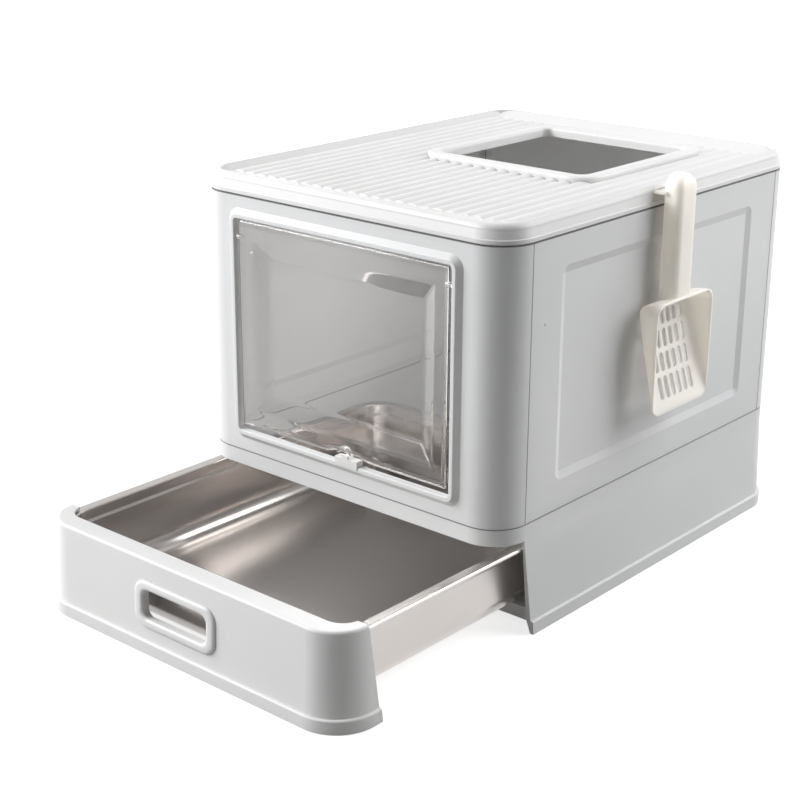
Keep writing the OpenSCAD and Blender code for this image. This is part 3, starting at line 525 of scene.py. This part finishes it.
class LITTERBOX_OT_mould_lid(bpy.types.Operator):
    """Give the lid, the drawer front and the latch their whiter plastic"""
    bl_idname = "litterbox.mould_lid"
    bl_label = "Mould the Lid and Drawer Front"

    def execute(self, context):
        look = context.scene.litterbox_plastic
        # the lid's colour gets painted shade along its lower edge
        material = moulded_plastic("lid plastic", look.lid, look.gloss, look.grain, look.glow,
                                   look.through, lid_painted_shade)
        finish_nodes(material, "lid", "door_latch", "drawer_front")
        return {"FINISHED"}


class LITTERBOX_OT_form_door(bpy.types.Operator):
    """Form the clear flap door with its dish, hinge pins and thumb arch"""
    bl_idname = "litterbox.form_door"
    bl_label = "Form the Door"

    def execute(self, context):
        look = context.scene.litterbox_plastic
        low, high = (np.array(c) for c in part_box("flap_door"))
        s = context.scene.litterbox_door
        arch_stand, arch_drop, hinge_drop = 0.004, 0.0022, 0.017
        face = low[1] + arch_stand
        hinge = (0, face + s.gauge / 2, high[2] - hinge_drop)
        pin = self.pin(high[0])
        made = solid("clear_door", *joined(
            self.sheet(s, face, low[2], high[2]), lathe_x(pin, hinge), lathe_x(pin * (-1, 1), hinge),
            self.arch(LATCH_X, face, low[2] - arch_drop)), angle=50)
        finish = clear_sheet("clear plastic", look.door, rough=0.03, haze=look.haze)
        settle(made, finish, "door", "clear_plastic", "flap_door")
        return {"FINISHED"}

    def pin(self, end):
        """Profile (x, r) of a hinge pin with its boss on the sheet's side and a chamfer at its end."""
        boss_start, boss_end, boss_r = 0.133, 0.1375, 0.0028
        pin_r, chamfer = 0.002, 0.0004
        return np.array([(boss_start, boss_r), (boss_end, boss_r), (boss_end, pin_r), (end - chamfer, pin_r),
                         (end, pin_r - chamfer)])

    def sheet(self, s, face, bottom, top):
        """Sheet on a grid of x and z. With e the distance inside the dish's outline, the front lies at
        depth (h(e) - h(e - slope)) / slope, where h(v) = (v + sqrt(v^2 + soft^2)) / 2. Near its outer edge,
        at distance b, a bead stands up by exp(-((b - inset) / half)^2), and the sheet thins in a quarter
        circle. The lowest stretch is drawn down over the sill. With d the distance from the latch, the bead
        is multiplied by 1 - exp(-(d / gap)^4) and the apron by 1 - exp(-(d / gap)^8), so both stop at it."""
        mitre = 0.0006
        bead_inset, bead_half, bead_gap = 0.0032, 0.0012, 0.007
        apron_drop, apron_height, apron_gap = 0.004, 0.014, 0.023
        marks = (0.006, 10), (0.042, 28)
        x = both_ways(s.width / 2, *marks)
        z = both_ways((top - bottom) / 2, *marks) + (top + bottom) / 2
        z, x = np.meshgrid(z, x, indexing="ij")
        side, above, below = s.border
        to_side = s.width / 2 - np.abs(x)
        distances = np.stack([to_side - side, top - above - z, z - bottom - below])
        e = -mitre * np.log(np.exp(-distances / mitre).sum(0).clip(1e-30))
        rise = (self.ease(e, s.soft) - self.ease(e - s.slope, s.soft)) / s.slope
        b = np.minimum(to_side, np.minimum(top - z, z - bottom))
        bead = s.bead * np.exp(-((b - bead_inset) / bead_half) ** 2) * self.beside_latch(x, bead_gap, 4)
        r = s.gauge * 0.4
        thin = r - np.sqrt((r ** 2 - np.maximum(r - b, 0) ** 2).clip(0))
        y = face + s.depth * rise
        apron = apron_drop * self.beside_latch(x, apron_gap, 8)
        z = z - apron * ((bottom + apron_height - z) / apron_height).clip(0, 1)
        return slab(np.stack([x, y - bead + thin, z], -1), np.stack([x, y + s.gauge - thin, z], -1))

    def ease(self, v, soft):
        """0 for v below 0 and v above it, with a soft bend between: (v + sqrt(v^2 + soft^2)) / 2."""
        return (v + np.sqrt(v ** 2 + soft ** 2)) / 2

    def beside_latch(self, x, gap, power):
        """0 over the latch and 1 beside it: 1 - exp(-(d / gap)^power)."""
        return 1 - np.exp(-((x - LATCH_X) / gap) ** power)

    def arch(self, x, face, z):
        """Half ring that ends short of the sill: point (i, j) is (x + (R + a_j) cos t_i, face + b_j - rise,
        z + (R + a_j) sin t_i)."""
        radius, wide, deep, rise = 0.009, 0.003, 0.0044, 0.0018
        foot = 0.3
        section = rounded_section(wide, deep)
        t = np.linspace(foot, math.pi - foot, 25)[:, None]
        around = radius + section[None, :, 0]
        return tube(np.stack([x + around * np.cos(t), face - rise + section[None, :, 1] + 0 * t,
                              z + around * np.sin(t)], -1))


class LITTERBOX_OT_mould_grip(bpy.types.Operator):
    """Mould the soft rim and sleeve of the drawer's finger opening"""
    bl_idname = "litterbox.mould_grip"
    bl_label = "Mould the Finger Opening"

    def execute(self, context):
        look = context.scene.litterbox_plastic
        s = context.scene.litterbox_grip
        low, high = (np.array(c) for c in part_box("drawer_handle"))
        points = self.rim(s, (low[0] + high[0]) / 2)
        made = solid("finger_rim", points, grid_faces(*points.shape[:2], wrap_rows=True, wrap_cols=True))
        finish = moulded_plastic("rim plastic", look.lid, look.gloss, look.grain, look.glow, look.through)
        settle(made, finish, "drawer", "lid_plastic", "drawer_handle")
        return {"FINISHED"}

    def rim(self, s, centre_x):
        """Ring on the leaning wall. With A on the opening's outline, B on the rim's and (q, w) on the
        section, point (i, j) lies at A_i (1 - q_j) + B_i q_j along the wall and w_j out of it. A step up the
        wall goes (sin, cos) of its lean in y and z, a step out of it (-cos, sin)."""
        inner, normals = rounded_path(*s.opening, 14, 2)
        outer, _ = rounded_path(*s.rim, 14, 2)
        q, w = self.section(s).T
        a = inner + normals * s.opening[2]
        b = outer + normals * s.rim[2]
        flat = a[:, None, :] * (1 - q[None, :, None]) + b[:, None, :] * q[None, :, None]
        x, up, out = flat[..., 0], flat[..., 1], np.broadcast_to(w, flat.shape[:2])
        face_y, face_z = DRAWER_WALL
        return np.stack([centre_x + x, face_y - out * math.cos(WALL_LEAN) + up * math.sin(WALL_LEAN),
                         face_z + up * math.cos(WALL_LEAN) + out * math.sin(WALL_LEAN)], -1)

    def section(self, s):
        """Closed section (q, w): q runs from 0 at the opening's outline to 1 at the rim's, w is the stand
        over the wall. Up the sleeve, over a rim rounded by quarter ellipses, back along the wall with a hair
        of air, and down the sleeve."""
        bend, sleeve, air = 0.36, 0.2, 0.0002
        a = np.linspace(0, math.pi / 2, 9)
        lip = np.stack([bend * (1 - np.cos(a)), s.out * np.sin(a)], -1)
        edge = np.stack([1 - bend + bend * np.sin(a), air + (s.out - air) * np.cos(a)], -1)
        return np.concatenate([[(0, -s.back)], lip, edge[1:], [(sleeve, air), (sleeve, -s.back)]])


class LITTERBOX_OT_mould_scoop(bpy.types.Operator):
    """Mould the scoop: sifting bowl, handle with a domed end, and the tongue on the lid"""
    bl_idname = "litterbox.mould_scoop"
    bl_label = "Mould the Scoop"
    columns = 6  # slots side by side in a row
    cell_x, cell_y = 6, 12  # faces across and down the cell round a slot
    bend = 12  # faces round a quarter bend

    def execute(self, context):
        look = context.scene.litterbox_plastic
        s = context.scene.litterbox_scoop
        low, high = (np.array(c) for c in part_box("litter_scoop"))
        rim_inset, handle_inset = 0.0006, 0.0255
        tongue_wide, tongue_thick = 0.040, 0.003
        rim_x, top = high[0] - rim_inset, low[2] + s.bowl[1]
        finish = moulded_plastic("scoop plastic", look.scoop, look.gloss - 0.04, look.grain * 0.5,
                                 glow=0.4, through=0.3)
        bowl = solid("scoop_bowl", *joined(self.wall(s, rim_x, top), self.floor(s, rim_x, top)), angle=60)
        self.face_right(bowl)
        shell = bowl.modifiers.new("wall", "SOLIDIFY")
        shell.thickness, shell.offset = s.gauge, -1
        settle(bowl, finish, "scoop", "scoop_plastic", "litter_scoop")
        hook_x, hook_z = HOOK
        handle = solid("scoop_handle", *joined(
            self.handle(s, high[0] - handle_inset, top - s.gauge, high[2]),
            self.bar(((low[0] + hook_x) / 2, 0, hook_z),
                     (hook_x - low[0]) / 2, tongue_wide / 2, tongue_thick / 2)), angle=50)
        settle(handle, finish, "scoop", "scoop_plastic")
        return {"FINISHED"}

    def face_right(self, made):
        """Turns the faces of the open sheet so that they look out of the bowl."""
        mesh = made.data
        normals, areas = np.empty(len(mesh.polygons) * 3), np.empty(len(mesh.polygons))
        mesh.polygons.foreach_get("normal", normals)
        mesh.polygons.foreach_get("area", areas)
        if normals.reshape(-1, 3)[:, 0] @ areas < 0:
            mesh.flip_normals()

    def back_x(self, s, rim_x, down):
        """Inner back of the bowl at a distance down from its top. It stays level at first, then rises to the
        rim by D (0.6 t + 0.4 t^2), where t grows from 0 there to 1 at the bottom."""
        level = 0.006
        t = ((down - level) / (s.bowl[1] - level)).clip(0, 1)
        return rim_x - s.bowl[2] + s.gauge + s.bowl[2] * (0.6 * t + 0.4 * t * t)

    def lines(self, s):
        """Grid lines across and down the slotted floor, with margins at both sides and the top, and the marks
        down it where its four rows of cells start and end."""
        half = self.columns / 2 * s.pitch
        edge = s.bowl[0] / 2 - s.corner
        cells = np.linspace(-half, half, self.columns * self.cell_x + 1)
        across = np.concatenate([[-edge, -(edge + half) / 2], cells, [(edge + half) / 2, edge]])
        marks = np.array([0.0140, 0.0330, 0.0555, 0.0780, s.bowl[1] - s.corner])
        rows = [np.linspace(start, end, self.cell_y + 1)[1:] for start, end in zip(marks[:-1], marks[1:])]
        return across, np.concatenate([[s.corner, marks[0]], *rows]), marks

    def wall(self, s, rim_x, top):
        """Side of the bowl, an elliptic fillet from the floor's edge up to the rim, R further out. At a
        distance e inside the rim it has risen by the share 1 - sqrt(1 - (1 - e / R)^2) of the way to it."""
        across, down, _ = self.lines(s)
        corners = [(across[-1], down[0]), (across[-1], down[-1]), (across[0], down[-1]), (across[0], down[0])]
        runs = [np.stack([np.full(len(down) - 2, across[-1]), down[1:-1]], -1),
                np.stack([across[-2:0:-1], np.full(len(across) - 2, down[-1])], -1),
                np.stack([np.full(len(down) - 2, across[0]), down[-2:0:-1]], -1),
                np.stack([across[1:-1], np.full(len(across) - 2, down[0])], -1)]
        turn = np.linspace(0, math.pi / 2, self.bend + 1)
        centres, normals = [], []
        for k in range(4):
            a = turn + (k - 1) * math.pi / 2
            centres += [np.tile(corners[k], (self.bend + 1, 1)), runs[k]]
            normals += [np.stack([np.cos(a), np.sin(a)], -1),
                        np.tile((math.cos(k * math.pi / 2), math.sin(k * math.pi / 2)), (len(runs[k]), 1))]
        centres, normals = np.concatenate(centres), np.concatenate(normals)
        reach = s.corner - s.gauge
        e = reach * (1 - np.cos(turn)) ** 0.8
        flat = centres[:, None, :] + (reach - e)[None, :, None] * normals[:, None, :]
        back = self.back_x(s, rim_x, flat[..., 1])
        share = 1 - np.sqrt((1 - (1 - e / reach) ** 2).clip(0))
        points = np.stack([back + (rim_x - back) * share[None, :], flat[..., 0], top - flat[..., 1]], -1)
        return points, grid_faces(*points.shape[:2], wrap_rows=True), []

    def floor(self, s, rim_x, top):
        """Slotted floor. In each cell the grid runs from the slot's outline to the cell's, point (k, j) =
        slot_k (1 - w_j) + cell_k w_j. Plain strips fill the margins."""
        across, down, marks = self.lines(s)
        parts = []
        columns = (np.arange(self.columns) - (self.columns - 1) / 2) * s.pitch
        w = np.array([0, 0.4, 1])[None, None, :, None]
        for start, end in zip(marks[:-1], marks[1:]):
            slot, cell = self.outlines(s, (end - start) / 2)
            ring = slot[None, :, None, :] * (1 - w) + cell[None, :, None, :] * w
            middles = np.stack([columns, np.full(self.columns, (start + end) / 2)], -1)
            parts += [self.lay(s, rim_x, top, patch, wrap=True) for patch in ring + middles[:, None, None, :]]
        for u, v in ((across[:3], down), (across[-3:], down), (across[2:-2], down[:2])):
            v, u = np.meshgrid(v, u, indexing="ij")
            parts.append(self.lay(s, rim_x, top, np.stack([u, v], -1)))
        return joined(*parts)

    def outlines(self, s, tall):
        """Outlines of a slot and of its cell round their middle, with as many points each. The slot is two
        half circles r (sin a, -cos a) and two straight sides, the cell an oblong of half height tall."""
        web = 0.002
        wide, r = s.pitch / 2, s.slot / 2
        straight = tall - web - r
        end, side = (np.linspace(-1, 1, count + 1)[:-1] for count in (self.cell_x, self.cell_y))
        a = end * math.pi / 2
        cell = np.concatenate([np.stack([end * wide, np.full(self.cell_x, -tall)], -1),
                               np.stack([np.full(self.cell_y, wide), side * tall], -1)])
        slot = np.concatenate([np.stack([r * np.sin(a), -straight - r * np.cos(a)], -1),
                               np.stack([np.full(self.cell_y, r), side * straight], -1)])
        return np.concatenate([slot, -slot]), np.concatenate([cell, -cell])

    def lay(self, s, rim_x, top, flat, wrap=False):
        """Lays a flat grid (across, down) on the curved back of the bowl."""
        points = np.stack([self.back_x(s, rim_x, flat[..., 1]), flat[..., 0], top - flat[..., 1]], -1)
        return points, grid_faces(*flat.shape[:2], wrap_rows=wrap), []

    def handle(self, s, back, low, high):
        """Bar with a rounded section, point (i, j) = (back + x_j c_i + 0.3 T (1 - c_i), y_j s_i) at height
        z_i, with x_j from its back and T its thickness. Towards the top the scales are those of an ellipse
        over the share v of the dome's height: s = sqrt(1 - v^2), c = 0.35 + 0.65 s."""
        wide, thick, r = s.grip
        loop, normals = rounded_path(thick, wide, r, 8, 4)
        section = loop + normals * r
        dome, tip, runs = 0.015, 0.03, 5
        v = np.sin(np.linspace(0, math.pi / 2 - tip, 14))
        z = np.concatenate([np.linspace(low, high - dome, runs + 1)[:-1], high - dome + dome * v])
        narrow = np.concatenate([np.ones(runs), np.sqrt(1 - v ** 2)])[:, None]
        flat = 0.35 + 0.65 * narrow
        x = back + (section[None, :, 0] + thick / 2) * flat + (1 - flat) * thick * 0.3
        return tube(np.stack([x, section[None, :, 1] * narrow, z[:, None] + 0 * x], -1))

    def bar(self, centre, x, y, z):
        """Block with soft edges, half sizes x, y and z. Its section in y and z is rounded, and at both ends
        it is scaled by 1 - inset / y and 1 - inset / z."""
        radius, inset = min(y, z) * 0.6, min(x, y, z) * 0.3
        loop, normals = rounded_path(2 * y, 2 * z, radius, 5)
        outline = loop + normals * radius
        ends = np.array([(-x, inset), (-x + inset, 0), (x - inset, 0), (x, inset)])
        pull = 1 - ends[:, 1:, None] / np.array([y, z])
        flat = outline[None, :, :] * pull
        along = np.broadcast_to(ends[:, :1], flat.shape[:2])
        return tube(np.stack([along, flat[..., 0], flat[..., 1]], -1) + np.array(centre))


class LITTERBOX_OT_press_tray(bpy.types.Operator):
    """Press the steel tray as one smooth sheet and finish its screws"""
    bl_idname = "litterbox.press_tray"
    bl_label = "Press the Tray"

    def execute(self, context):
        s = context.scene.litterbox_tray
        look = context.scene.litterbox_steel
        low, high = (np.array(c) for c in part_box("steel_tray"))
        width, length = (high - low)[:2] - 2 * s.flange
        centres, normals = rounded_path(width, length, s.corner, 20, 8)
        points = carried(self.profile(s, low[2], high[2]), centres, normals, s.corner)
        points[..., :2] += (low + high)[:2] / 2
        rows, cols = points.shape[:2]
        ring = np.arange(rows) * cols
        made = solid("pressed_tray", points, grid_faces(rows, cols, wrap_rows=True),
                     [ring[::-1], ring + cols - 1])
        steel = brushed_sheet("stainless sheet", look.sheet, look.rough, look.line, look.wave)
        settle(made, steel, "drawer", "sheet_steel", "steel_tray")
        screw = brushed_sheet("screw steel", look.screw, rough=0.3, length=0.01, waviness=0.0)
        finish_nodes(screw, "tray_screws")
        return {"FINISHED"}

    def profile(self, s, bottom, top):
        """Section (u, z) of the sheet, with u = 0 on the outside of the band below the flange. The outer face
        runs from the floor up the cove, the wall and the band and out along the flange to the hem, and the
        inner face comes back the same way at one gauge from it."""
        g, lip, bend, soft = s.gauge, 0.002, 0.001, 0.0004
        wall = -s.step
        cove_u, cove_z = wall - s.cove, bottom + s.cove
        band_z = top - s.band
        step_z = band_z - s.step
        flat = cove_u - bend
        return np.concatenate([
            [(flat, bottom)], arc(cove_u, cove_z, s.cove, -90, 0, 16),
            [(wall, step_z - bend), (wall + soft, step_z), (-soft, band_z - soft), (0, band_z + bend - soft)],
            [(0, top - g - bend)], arc(bend, top - g - bend, bend, 180, 90, 4),
            arc(s.flange - lip, top - lip, lip - g, 90, 0, 6), [(s.flange - g, top - s.hem)],
            [(s.flange, top - s.hem)], arc(s.flange - lip, top - lip, lip, 0, 90, 8),
            arc(bend, top - g - bend, bend + g, 90, 180, 6),
            [(-g, band_z + bend), (-g - soft, band_z)],
            [(wall - g + soft, step_z + bend - soft), (wall - g, step_z - soft)],
            arc(cove_u, cove_z, s.cove - g, 0, -90, 16), [(flat, bottom + g)],
        ])


class LITTERBOX_OT_set_stage(bpy.types.Operator):
    """Set the camera, the lamps, the even light and the white floor"""
    bl_idname = "litterbox.set_stage"
    bl_label = "Set the Stage"

    def execute(self, context):
        s = context.scene.litterbox_stage
        scene = context.scene
        scene.view_settings.view_transform = "Standard"
        self.camera(scene, s)
        self.lamp(scene, "left lamp", place=(-2.295, -2.02, 1.88), size=(2.7, 1.5), power=s.left)
        self.lamp(scene, "right lamp", place=(1.44, 1.38, 1.45), size=(2.0, 2.0), power=s.right)
        self.lamp(scene, "top lamp", place=(0.8, 1.1, 2.3), size=(1.8, 1.8), power=s.top)
        self.world(scene, s.fill)
        bpy.ops.mesh.primitive_plane_add(size=30)
        floor = context.object
        floor.name = "floor"
        floor.data.materials.append(self.floor_white())
        return {"FINISHED"}

    def camera(self, scene, s):
        """Camera that looks against the direction (sin az cos el, -cos az cos el, sin el), then rolled."""
        azimuth, elevation, roll = (math.radians(a) for a in s.aim)
        back = Vector((math.sin(azimuth) * math.cos(elevation), -math.cos(azimuth) * math.cos(elevation),
                       math.sin(elevation)))
        right = (-back).cross(Vector((0, 0, 1))).normalized()
        up = back.cross(right)
        right, up = right * math.cos(roll) + up * math.sin(roll), up * math.cos(roll) - right * math.sin(roll)
        data = bpy.data.cameras.new("camera")
        data.sensor_width, data.lens, data.clip_start = 36, s.lens, 0.01
        camera = bpy.data.objects.new("camera", data)
        rows = [[right[i], up[i], back[i], s.place[i]] for i in range(3)]
        camera.matrix_world = Matrix(rows + [[0, 0, 0, 1]])
        scene.collection.objects.link(camera)
        scene.camera = camera

    def lamp(self, scene, name, place, size, power):
        """Oblong soft lamp at a place, turned to the middle of the box."""
        middle = Vector((0, -0.1, 0.2))
        data = bpy.data.lights.new(name, "AREA")
        data.shape, data.energy, (data.size, data.size_y) = "RECTANGLE", power, size
        lamp = bpy.data.objects.new(name, data)
        lamp.location = place
        lamp.rotation_euler = (middle - Vector(place)).to_track_quat("-Z", "Y").to_euler()
        scene.collection.objects.link(lamp)

    def world(self, scene, fill):
        """White to the eye, in mirrors and through clear sheet; a weaker even light on everything else."""
        world = bpy.data.worlds.new("studio")
        scene.world = world
        t = Tree(world)
        light = t.node("ShaderNodeBackground", {}, {"Color": (1, 1, 1, 1),
                                                    "Strength": fill + t.seen() * (1 - fill)})
        t.surface(light, "ShaderNodeOutputWorld")

    def floor_white(self):
        """Pale floor. To the eye, in mirrors and through clear sheet it is white and keeps the object's soft
            shadow; what it throws back on the object is the light of a mid-grey table. Its glow is painted
            light:
            0.72 within half a metre of the middle, growing to full at 3 m where the lamps' light has fallen
            off."""
        material = bpy.data.materials.new("floor white")
        t = Tree(material)
        table = t.node("ShaderNodeBsdfDiffuse", {}, {"Color": (0.24, 0.24, 0.24, 1)})
        away = t.node("ShaderNodeVectorMath", {"operation": "LENGTH"}, {0: t.place()}, out="Value")
        # painted light: the floor's glow grows with distance to make up for the lamps' fall-off
        glow = t.blend(away.smooth(0.5, 3.0), (0.72, 0.72, 0.72, 1), (1, 1, 1, 1))
        white = t.node("ShaderNodeBsdfPrincipled", {}, {
            "Base Color": (0.6, 0.6, 0.6, 1), "Roughness": 0.8, "Specular IOR Level": 0.0,
            "Emission Color": glow, "Emission Strength": 1.0})
        t.surface(t.mixed(t.seen(), table, white))
        return material


class LITTERBOX_PT_parts(bpy.types.Panel):
    """Buttons for the parts of the litter box"""
    bl_idname = "LITTERBOX_PT_parts"
    bl_label = "Drawer Litter Box"
    bl_space_type = "VIEW_3D"
    bl_region_type = "UI"
    bl_category = "Litter Box"

    def draw(self, context):
        for operator in OPERATORS:
            self.layout.operator(operator.bl_idname)
        for group in GROUPS:
            box = self.layout.box()
            for name in getattr(context.scene, group).__annotations__:
                box.prop(getattr(context.scene, group), name)


GROUPS = {"litterbox_plastic": PlasticFinish, "litterbox_steel": SteelFinish,
          "litterbox_tray": TraySizes, "litterbox_door": DoorSizes, "litterbox_grip": GripSizes,
          "litterbox_scoop": ScoopSizes, "litterbox_stage": StageSettings}
OPERATORS = (LITTERBOX_OT_mould_shell, LITTERBOX_OT_mould_lid, LITTERBOX_OT_form_door,
             LITTERBOX_OT_mould_grip, LITTERBOX_OT_mould_scoop, LITTERBOX_OT_press_tray,
             LITTERBOX_OT_set_stage)
CLASSES = (*GROUPS.values(), *OPERATORS, LITTERBOX_PT_parts)


def register():
    for cls in CLASSES:
        bpy.utils.register_class(cls)
    for name, cls in GROUPS.items():
        setattr(bpy.types.Scene, name, PointerProperty(type=cls))


def unregister():
    for name in GROUPS:
        delattr(bpy.types.Scene, name)
    for cls in reversed(CLASSES):
        bpy.utils.unregister_class(cls)


def main():
    register()
    for operator in OPERATORS:
        group, name = operator.bl_idname.split(".")
        getattr(getattr(bpy.ops, group), name)()


if __name__ == "__main__":
    main()
